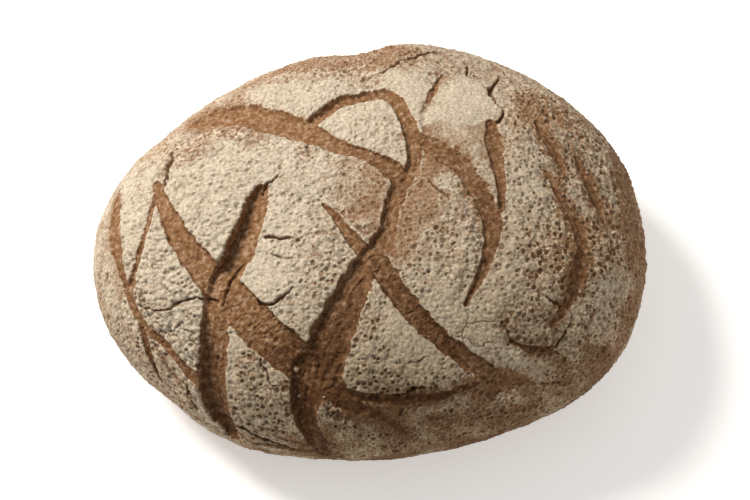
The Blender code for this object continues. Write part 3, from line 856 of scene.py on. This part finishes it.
def cornerNormals(points, quads, fan):
    # a point's normal is the sum of its faces' normals, each as long as its face is large
    normals = np.zeros_like(points)
    for faces in (quads, fan):
        size = np.cross(points[faces[:, 2]] - points[faces[:, 0]], points[faces[:, -1]] - points[faces[:, 1]])
        for corner in faces.T:
            for axis in range(3):
                normals[:, axis] += np.bincount(corner, size[:, axis], len(points))
    return normals / np.maximum(np.linalg.norm(normals, axis=1, keepdims=True), 1e-9)


def patchFaces(numbers, low, high):
    # the squares of a block of numbered points, and each corner's place on a flat map, which runs from
    # low to high with the block's columns across it
    u = np.linspace(high[0], low[0], numbers.shape[0])
    v = np.linspace(low[1], high[1], numbers.shape[1])
    flat = np.stack(np.meshgrid(u, v, indexing="ij"), axis=-1)
    start, end = slice(None, -1), slice(1, None)
    corners = ((start, start), (start, end), (end, end), (end, start))
    faces = np.stack([numbers[corner] for corner in corners], axis=-1).reshape(-1, 4)
    return faces, np.stack([flat[corner] for corner in corners], axis=-2).reshape(-1, 4, 2)


def pieceFaces(number, rings, row, column, start, count, relief):
    # the faces of one piece: its block of the grid, and the stretch of the base's rings that its rim
    # leads to, counted in bays; the last ring is drawn together at the middle of the base. The block
    # fills most of the flat map, and the base lies in a strip below it
    left, right, baseRight = 0.01, 0.99, 0.60
    baseLow, baseHigh, fanHigh, blockLow, blockHigh = 0.03, 0.15, 0.16, 0.17, 0.99
    bay = relief["bay"]
    block = number[row * 2 * bay:(row + 1) * 2 * bay + 1, column * bay:(column + 1) * bay + 1]
    ring = rings[:, (start * bay + np.arange(count * bay + 1)) % rings.shape[1]]
    top, topMap = patchFaces(block, (left, blockLow), (right, blockHigh))
    under, underMap = patchFaces(ring.T, (left, baseLow), (baseRight, baseHigh))
    last = ring[-1]
    middle = np.full(len(last) - 1, rings.max() + 1)
    fan = np.stack([last[1:], last[:-1], middle], axis=1)
    along = np.linspace(baseRight, left, len(last))
    fanAcross = np.stack([along[1:], along[:-1], along[:-1]], axis=1)
    fanMap = np.stack([fanAcross, np.tile([baseHigh, baseHigh, fanHigh], (len(fan), 1))], axis=-1)
    return np.vstack([top, under]), np.vstack([topMap, underMap]), fan, fanMap


def closePiece(count, quads, fan, quadMap, fanMap):
    # every edge with a face on one side only is led down to its inner point, numbered count places on,
    # and from there to the heart of the loaf, the last point of all. These faces have the flat map's
    # last corner
    mapLeft, mapRight, rimLine, innerLine, heartLine = 0.65, 0.99, 0.14, 0.10, 0.02
    edges = np.vstack([
        np.stack([faces.T, np.roll(faces, -1, axis=1).T], axis=-1).reshape(-1, 2) for faces in (quads, fan)
    ])
    code = edges[:, 0] * 2**32 + edges[:, 1]
    back = edges[:, 1] * 2**32 + edges[:, 0]
    lone = edges[~np.isin(code, back)]
    first, second = lone.T
    heart = np.full(len(lone), 2 * count)
    strips = (
        (second, first, first + count),
        (second, first + count, second + count),
        (second + count, first + count, heart),
    )
    inner = np.vstack([np.stack(corners, axis=1) for corners in strips])
    along = np.linspace(mapLeft, mapRight, len(lone) + 1)
    right, left = along[1:], along[:-1]
    stripMaps = (
        ((right, left, left), (rimLine, rimLine, innerLine)),
        ((right, left, right), (rimLine, innerLine, innerLine)),
        ((right, left, left), (innerLine, innerLine, heartLine)),
    )
    innerMap = [np.stack([np.stack(u, axis=1), np.tile(v, (len(lone), 1))], axis=-1) for u, v in stripMaps]
    faces = [quads, np.vstack([fan, inner])]
    used, packed = np.unique(np.concatenate([f.ravel() for f in faces]), return_inverse=True)
    quads = packed[:quads.size].reshape(-1, 4)
    triangles = packed[quads.size:].reshape(-1, 3)
    places = np.vstack([corners.reshape(-1, 2) for corners in (quadMap, fanMap, *innerMap)])
    return used, quads, triangles, places, np.unique(lone), len(inner)


def buildMesh(name, points, quads, triangles, places=None):
    # quads come first, then triangles; places holds one spot on the flat map for each corner
    mesh = bpy.data.meshes.new(name)
    loops = np.concatenate([quads.ravel(), triangles.ravel()])
    starts = np.concatenate([np.arange(len(quads)) * 4, quads.size + np.arange(len(triangles)) * 3])
    mesh.vertices.add(len(points))
    mesh.vertices.foreach_set("co", (points * metre).astype(np.float32).ravel())
    mesh.loops.add(len(loops))
    mesh.loops.foreach_set("vertex_index", loops.astype(np.int32))
    mesh.polygons.add(len(starts))
    mesh.polygons.foreach_set("loop_start", starts.astype(np.int32))
    mesh.update(calc_edges=True)
    if places is not None:
        layer = mesh.uv_layers.new(name="OFBake")
        layer.data.foreach_set("uv", places.astype(np.float32).ravel())
    return mesh


def addPiece(mesh, material):
    mesh.materials.append(material)
    piece = bpy.data.objects.new(mesh.name, mesh)
    bpy.context.scene.collection.objects.link(piece)
    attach(piece, "root")
    return piece


# Row and column of each piece's block, and the bays of the rim that belong to it: first and how many
crustPieces = {
    "crustNearLeft": (0, 0, 14, 3),
    "crustNearMiddleLeft": (0, 1, 1, 1),
    "crustNearMiddleRight": (0, 2, 2, 1),
    "crustNearRight": (0, 3, 3, 3),
    "crustFarRight": (1, 3, 6, 3),
    "crustFarMiddleRight": (1, 2, 9, 1),
    "crustFarMiddleLeft": (1, 1, 10, 1),
    "crustFarLeft": (1, 0, 11, 3),
}


def buildCrust(relief, material):
    # the whole crust is worked out at once, then parted into pieces that meet exactly, each closed to
    # the heart of the loaf, so that every mesh stays light
    places, number, rings = crustLayout(relief)
    points, inner, qualities = crustSurface(relief, places)
    middle = (np.array(cadLow) + np.array(cadHigh)) / 2 / metre
    shift = (middle - (points.min(axis=0) + points.max(axis=0)) / 2) * (1, 1, 0)
    everything = np.vstack([points + shift, inner + shift, [shift + relief["heart"]]])
    faces = {name: pieceFaces(number, rings, *where, relief) for name, where in crustPieces.items()}
    allQuads, allFans = (np.vstack([found[k] for found in faces.values()]) for k in (0, 2))
    normals = cornerNormals(points, allQuads, allFans)
    for name, (quads, quadMap, fan, fanMap) in faces.items():
        closed = closePiece(len(points), quads, fan, quadMap, fanMap)
        used, quads, triangles, flat, border, innerCount = closed
        mesh = buildMesh(name, everything[used], quads, triangles, flat)
        for quality, values in qualities.items():
            attribute = mesh.attributes.new(quality, "FLOAT", "POINT")
            everywhere = np.concatenate([values, values, [0.0]])
            attribute.data.foreach_set("value", everywhere[used].astype(np.float32))
        # the cut faces inside are flat, and the crust's shading runs on across the seams
        smooth = np.arange(len(quads) + len(triangles)) < len(quads) + len(triangles) - innerCount
        mesh.polygons.foreach_set("use_smooth", smooth)
        kept = np.zeros((len(used), 3))
        onBorder = np.isin(used, border)
        kept[onBorder] = normals[used[onBorder]]
        mesh.normals_split_custom_set_from_vertices(kept.tolist())
        mesh.set_sharp_from_angle(angle=math.radians(relief["sharpAngle"]))
        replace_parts(addPiece(mesh, material), "loaf")
        print(name, "made,", 2 * len(quads) + len(triangles), "triangles")
    return places[:len(points)], points + shift, normals, shift


# Crumbs of flour and crust that fell into the cuts: x, y, reach, how many and how large
looseCrumbs = {
    "seed": 12,
    "size": (0.25, 0.5),
    "dents": (0.7, 1.2),
    "stretch": (0.6, 1.2),
    "spots": (
        (-38, -94, 0.5, 1, 4.2), (-38, -108, 0.5, 1, 2.6), (-38, -94, 5, 4, 1), (-38, -109, 4, 3, 1),
        (-5, -99, 4, 3, 1), (-28, -118, 6, 5, 1), (52, -96, 4, 4, 1), (45, -104, 3, 3, 1.4),
        (-60, -60, 8, 5, 1), (-75, -80, 8, 5, 1), (-20, -70, 6, 4, 1), (30, -82, 6, 4, 1),
        (-128, -8, 5, 4, 1), (50, -5, 6, 3, 1),
    ),
}


def buildCrumbs(settings, places, points, normals, material):
    # each crumb is a ball of twenty faces, its corners moved in and out and its whole turned at random,
    # half sunk in the crust
    golden = (1 + math.sqrt(5)) / 2
    corners = [np.roll((0, a, b * golden), turn) for turn in range(3) for a in (-1, 1) for b in (-1, 1)]
    ball = np.array(corners) / math.hypot(1, golden)
    near = np.linalg.norm(ball[:, None] - ball, axis=2) < 1.2      # neighbours are 1.05 apart
    faces = [
        three for three in itertools.combinations(range(len(ball)), 3)
        if all(near[pair] for pair in itertools.combinations(three, 2))
    ]
    faces = np.array([f if np.linalg.det(ball[list(f)]) > 0 else f[::-1] for f in faces])
    random = np.random.default_rng(settings["seed"])
    middles, scales = [], []
    for x, y, reach, count, scale in settings["spots"]:
        for spot in random.normal((x, y), reach / 2, (count, 2)):
            away = places * (loafForm["crustX"], loafForm["crustY"]) - spot
            middles.append(np.argmin(np.sum(away**2, axis=1)))
            scales.append(scale)
    number = len(middles)
    size = (random.uniform(*settings["size"], number) * scales)[:, None, None]
    shape = ball * random.uniform(*settings["dents"], (number, len(ball), 1))
    shape = shape * random.uniform(*settings["stretch"], (number, 1, 3))
    turn = np.linalg.qr(random.normal(size=(number, 3, 3)))[0]
    turn *= np.linalg.det(turn)[:, None, None]
    lumps = shape @ turn * size + (points[middles] + 0.3 * size[:, 0] * normals[middles])[:, None]
    triangles = (faces + len(ball) * np.arange(number)[:, None, None]).reshape(-1, 3)
    mesh = buildMesh("looseFlourCrumbs", lumps.reshape(-1, 3), np.zeros((0, 4), int), triangles)
    addPiece(mesh, material)
    print("looseFlourCrumbs made,", len(triangles), "triangles")


def addNode(tree, kind, settings=None, links=None, stops=()):
    # one node with its settings, and a colour ramp's stops; a link's value is another node's output,
    # or a number or colour for the socket itself
    node = tree.nodes.new(kind)
    for name, value in (settings or {}).items():
        setattr(node, name, value)
    for socket, value in (links or {}).items():
        if isinstance(value, bpy.types.NodeSocket):
            tree.links.new(value, node.inputs[socket])
        else:
            node.inputs[socket].default_value = value
    for index, (place, colour) in enumerate(stops):
        elements = node.color_ramp.elements
        element = elements[index] if index < len(elements) else elements.new(place)
        element.position = place
        element.color = hexColour(colour)
    return node


crustLook = {
    "flour": ((0.28, "#ad9d82"), (0.72, "#e0d5c1")),
    "dullFlour": ((0.28, "#7b6446"), (0.72, "#b3a080")),
    "crust": ((0.0, "#94755a"), (0.5, "#846243"), (1.0, "#593e23")),
    "crumbPale": ((0.29, "#654327"), (0.5, "#896442"), (0.71, "#b99e83")),
    "crumbDark": ((0.29, "#3c2716"), (0.5, "#56371d"), (0.71, "#7f5d3e")),
    # size in millimetres, detail and roughness of each noise
    "noises": {
        "speck": (1.6, 2.0, 0.5), "patch": (6.0, 4.0, 0.6), "crumb": (2.6, 5.0, 0.65),
        "powder": (1.5, 3.0, 0.6), "grain": (0.9, 2.0, 0.5),
    },
    "grainDepth": 0.25,
    "tornWander": 0.8,          # how far specks move the scores' borders
    "torn": (0.92, 0.72),       # how far up a wall crumb starts to show, and shows fully
    "film": (0.15, 0.65, 0.5),  # least and most flour of an even film, and how uneven the least is
    "cover": (1.02, 1.80),      # level at which flour starts to show, and covers fully
    "burstLoss": 0.50,          # how much flour a bowl loses
    "bakeWander": 0.7,          # how much darker or paler patches are
    # the bake value below also holds painted shade, darker towards the near side and lower right
    "dulling": (0.25, 0.95, 0.8),   # bake that starts to dull flour, that ends it, and the most it does
    "crumbBakeAndShade": (0.14, 0.96),  # bake at which crumb is pale, and at which it is dark
    # painted shade: how much darker bowls, pinholes and creases, and cracks, splits and folds are drawn
    "burstShade": 0.24,
    "crackShade": 0.35,
    "roughness": (0.78, 0.95),  # bare and floured
    "ior": 1.45,
    "specular": 0.18,
}


def crustMaterial(look):
    # hearth-baked wheat crust, dusted with flour before it was cut: matt, powdery cream on the plates,
    # satin brown where the flour is thin, and rough brown crumb where the scores tore open
    material = bpy.data.materials.new("hearthBakedCrustDustedWithFlour")
    material.use_nodes = True
    shader = material.node_tree.nodes["Principled BSDF"]
    add = functools.partial(addNode, material.node_tree)
    place = add("ShaderNodeTexCoord").outputs["Object"]
    noises = {}
    for name, (size, detail, roughness) in look["noises"].items():
        links = {"Vector": place, "Scale": 1 / (size * metre), "Detail": detail, "Roughness": roughness}
        noises[name] = add("ShaderNodeTexNoise", links=links).outputs["Fac"]
    edge, flour, burst, bake, crack = (
        add("ShaderNodeAttribute", {"attribute_name": name}).outputs["Fac"]
        for name in ("scoreEdge", "flour", "burst", "bake", "crack")
    )
    plus, minus, times = ({"operation": word} for word in ("ADD", "SUBTRACT", "MULTIPLY"))
    timesPlus = {"operation": "MULTIPLY_ADD"}
    eased = {"interpolation_type": "SMOOTHSTEP"}
    blend = {"data_type": "RGBA"}

    # torn is 1 inside the scores, its border wandering with the specks
    start, full = look["torn"]
    ragged = add("ShaderNodeMath", timesPlus, {0: noises["speck"], 1: look["tornWander"], 2: edge}).outputs[0]
    ends = {"Value": ragged, "From Min": start, "From Max": full}
    torn = add("ShaderNodeMapRange", eased, ends).outputs["Result"]

    # the flour's level is raised and lowered by patches and specks, less where it is an even thin film,
    # and drops in bowls and cracks
    least, most, unevenness = look["film"]
    uneven = add("ShaderNodeMath", plus, {0: noises["patch"], 1: noises["speck"]}).outputs[0]
    ends = {"Value": flour, "From Min": least, "From Max": most, "To Min": unevenness}
    broken = add("ShaderNodeMapRange", links=ends).outputs["Result"]
    uneven = add("ShaderNodeMix", links={0: broken, 2: 1.0, 3: uneven}).outputs[0]
    level = add("ShaderNodeMath", plus, {0: flour, 1: uneven}).outputs[0]
    level = add("ShaderNodeMath", timesPlus, {0: burst, 1: -look["burstLoss"], 2: level}).outputs[0]
    level = add("ShaderNodeMath", minus, {0: level, 1: crack}).outputs[0]
    start, full = look["cover"]
    ends = {"Value": level, "From Min": start, "From Max": full}
    floured = add("ShaderNodeMapRange", eased, ends).outputs["Result"]
    whole = add("ShaderNodeMath", minus, {0: 1.0, 1: torn}).outputs[0]
    covered = add("ShaderNodeMath", times, {0: floured, 1: whole}).outputs[0]

    # bare crust by how dark it baked, flour duller where it baked longer, and torn crumb between its
    # pale and its dark shades, all by the bake value, which also holds painted shade towards the near side
    # and lower right
    wander = look["bakeWander"]
    dark = add("ShaderNodeMath", timesPlus, {0: noises["patch"], 1: wander, 2: bake}).outputs[0]
    dark = add("ShaderNodeMath", minus, {0: dark, 1: wander / 2}).outputs[0]
    crust, powder, dull, pale, deep = (
        add("ShaderNodeValToRGB", links={"Fac": shade}, stops=look[name]).outputs["Color"]
        for name, shade in (
            ("crust", dark), ("flour", noises["powder"]), ("dullFlour", noises["powder"]),
            ("crumbPale", noises["crumb"]), ("crumbDark", noises["crumb"]),
        )
    )
    start, full, most = look["dulling"]
    ends = {"Value": bake, "From Min": start, "From Max": full, "To Max": most}
    dullness = add("ShaderNodeMapRange", links=ends).outputs["Result"]
    powder = add("ShaderNodeMix", blend, {0: dullness, 6: powder, 7: dull}).outputs[2]
    start, full = look["crumbBakeAndShade"]
    ends = {"Value": dark, "From Min": start, "From Max": full}
    crumbDarkness = add("ShaderNodeMapRange", eased, ends).outputs["Result"]
    crumb = add("ShaderNodeMix", blend, {0: crumbDarkness, 6: pale, 7: deep}).outputs[2]

    # crumb shows in the scores, crust outside them, and flour lies over both
    brown = add("ShaderNodeMix", blend, {0: torn, 6: crust, 7: crumb}).outputs[2]
    colour = add("ShaderNodeMix", blend, {0: covered, 6: brown, 7: powder}).outputs[2]

    # bowls, pinholes and creases, and cracks, splits and folds are drawn darker as painted shade in their
    # hollows, and rims and pale veins, where burst is below 0, a little lighter
    shade = add("ShaderNodeMath", timesPlus, {0: burst, 1: -look["burstShade"], 2: 1.0}).outputs[0]
    shade = add("ShaderNodeMath", timesPlus, {0: crack, 1: -look["crackShade"], 2: shade}).outputs[0]
    colour = add("ShaderNodeVectorMath", {"operation": "SCALE"}, {0: colour, "Scale": shade}).outputs[0]

    bare, powdered = look["roughness"]
    ends = {"Value": covered, "To Min": bare, "To Max": powdered}
    roughness = add("ShaderNodeMapRange", links=ends).outputs["Result"]
    links = {"Strength": 1.0, "Distance": look["grainDepth"] * metre, "Height": noises["grain"]}
    normal = add("ShaderNodeBump", links=links).outputs["Normal"]
    for name, output in (("Base Color", colour), ("Roughness", roughness), ("Normal", normal)):
        material.node_tree.links.new(output, shader.inputs[name])
    shader.inputs["IOR"].default_value = look["ior"]
    shader.inputs["Specular IOR Level"].default_value = look["specular"]
    return material


crumbLook = {"colours": ((0.35, "#7d6043"), (0.6, "#b3a283")), "size": 1.4, "roughness": 0.9}


def crumbMaterial(look):
    # crumbs of dried flour paste and crust: matt, from cream to light brown
    material = bpy.data.materials.new("looseFlourCrumb")
    material.use_nodes = True
    shader = material.node_tree.nodes["Principled BSDF"]
    add = functools.partial(addNode, material.node_tree)
    place = add("ShaderNodeTexCoord").outputs["Object"]
    links = {"Vector": place, "Scale": 1 / (look["size"] * metre)}
    noise = add("ShaderNodeTexNoise", links=links).outputs["Fac"]
    colour = add("ShaderNodeValToRGB", links={"Fac": noise}, stops=look["colours"]).outputs["Color"]
    material.node_tree.links.new(colour, shader.inputs["Base Color"])
    shader.inputs["Roughness"].default_value = look["roughness"]
    return material


cameraSettings = {
    "azimuth": 0.0,
    "elevation": 62.0,
    "distance": 0.9,
    "lens": 85.0,
    "target": (-0.0001, -0.0022, 0.050),
}


def addCamera(settings, shift):
    # the target moves with the crust, which is centred on the frame's box
    azimuth, elevation = math.radians(settings["azimuth"]), math.radians(settings["elevation"])
    level = math.cos(elevation)
    back = np.array([math.sin(azimuth) * level, -math.cos(azimuth) * level, math.sin(elevation)])
    camera = bpy.data.objects.new("camera", bpy.data.cameras.new("camera"))
    camera.data.lens = settings["lens"]
    camera.location = np.array(settings["target"]) + shift * metre + back * settings["distance"]
    camera.rotation_euler = (math.pi / 2 - elevation, 0, azimuth)
    bpy.context.scene.collection.objects.link(camera)
    bpy.context.scene.camera = camera


lightSettings = {
    "key": {"place": (-0.92, 0.60, 1.22), "size": 0.6, "power": 33.0, "colour": "#fff9f4"},
    "top": {"place": (0.10, 0.10, 1.60), "size": 1.6, "power": 4.0, "colour": "#fffbf7"},
    "fill": {"place": (1.20, -0.45, 0.45), "size": 0.9, "power": 5.0, "colour": "#fffaf5"},
}


def addArea(name, settings, target=(0, 0, 0.05)):
    light = bpy.data.objects.new(name, bpy.data.lights.new(name, "AREA"))
    light.data.shape = "DISK"
    light.data.size = settings["size"]
    light.data.energy = settings["power"]
    light.data.color = hexColour(settings["colour"])[:3]
    light.location = settings["place"]
    aim = np.array(target) - np.array(settings["place"])
    aim /= np.linalg.norm(aim)
    light.rotation_euler = (math.acos(-aim[2]), 0, math.atan2(-aim[0], aim[1]))
    bpy.context.scene.collection.objects.link(light)


stageSettings = {
    "side": 8.0,
    "paper": "#f7f6f4",
    "roughness": 0.9,
    "glow": 0.45,
    "sky": "#f6f8fc",
    "skyStrength": 0.12,
}


def addStage(settings):
    # a sheet of white paper, lit a little from below so that shadows on it stay pale
    side = settings["side"]
    mesh = bpy.data.meshes.new("floor")
    corners = [(-side, -side, 0), (side, -side, 0), (side, side, 0), (-side, side, 0)]
    mesh.from_pydata(corners, [], [(0, 1, 2, 3)])
    floor = bpy.data.objects.new("floor", mesh)
    material = bpy.data.materials.new("matteWhitePaper")
    material.use_nodes = True
    shader = material.node_tree.nodes["Principled BSDF"]
    shader.inputs["Base Color"].default_value = hexColour(settings["paper"])
    shader.inputs["Roughness"].default_value = settings["roughness"]
    shader.inputs["Emission Color"].default_value = hexColour(settings["paper"])
    shader.inputs["Emission Strength"].default_value = settings["glow"]
    mesh.materials.append(material)
    bpy.context.scene.collection.objects.link(floor)
    world = bpy.data.worlds.new("world")
    world.use_nodes = True
    background = world.node_tree.nodes["Background"]
    background.inputs["Color"].default_value = hexColour(settings["sky"])
    background.inputs["Strength"].default_value = settings["skyStrength"]
    bpy.context.scene.world = world


places, points, normals, shift = buildCrust(crustRelief, crustMaterial(crustLook))
buildCrumbs(looseCrumbs, places, points, normals, crumbMaterial(crumbLook))
addCamera(cameraSettings, shift)
for name, settings in lightSettings.items():
    addArea(name, settings)
addStage(stageSettings)
bpy.context.scene.view_settings.view_transform = "Standard"
print("camera, lights and floor made")
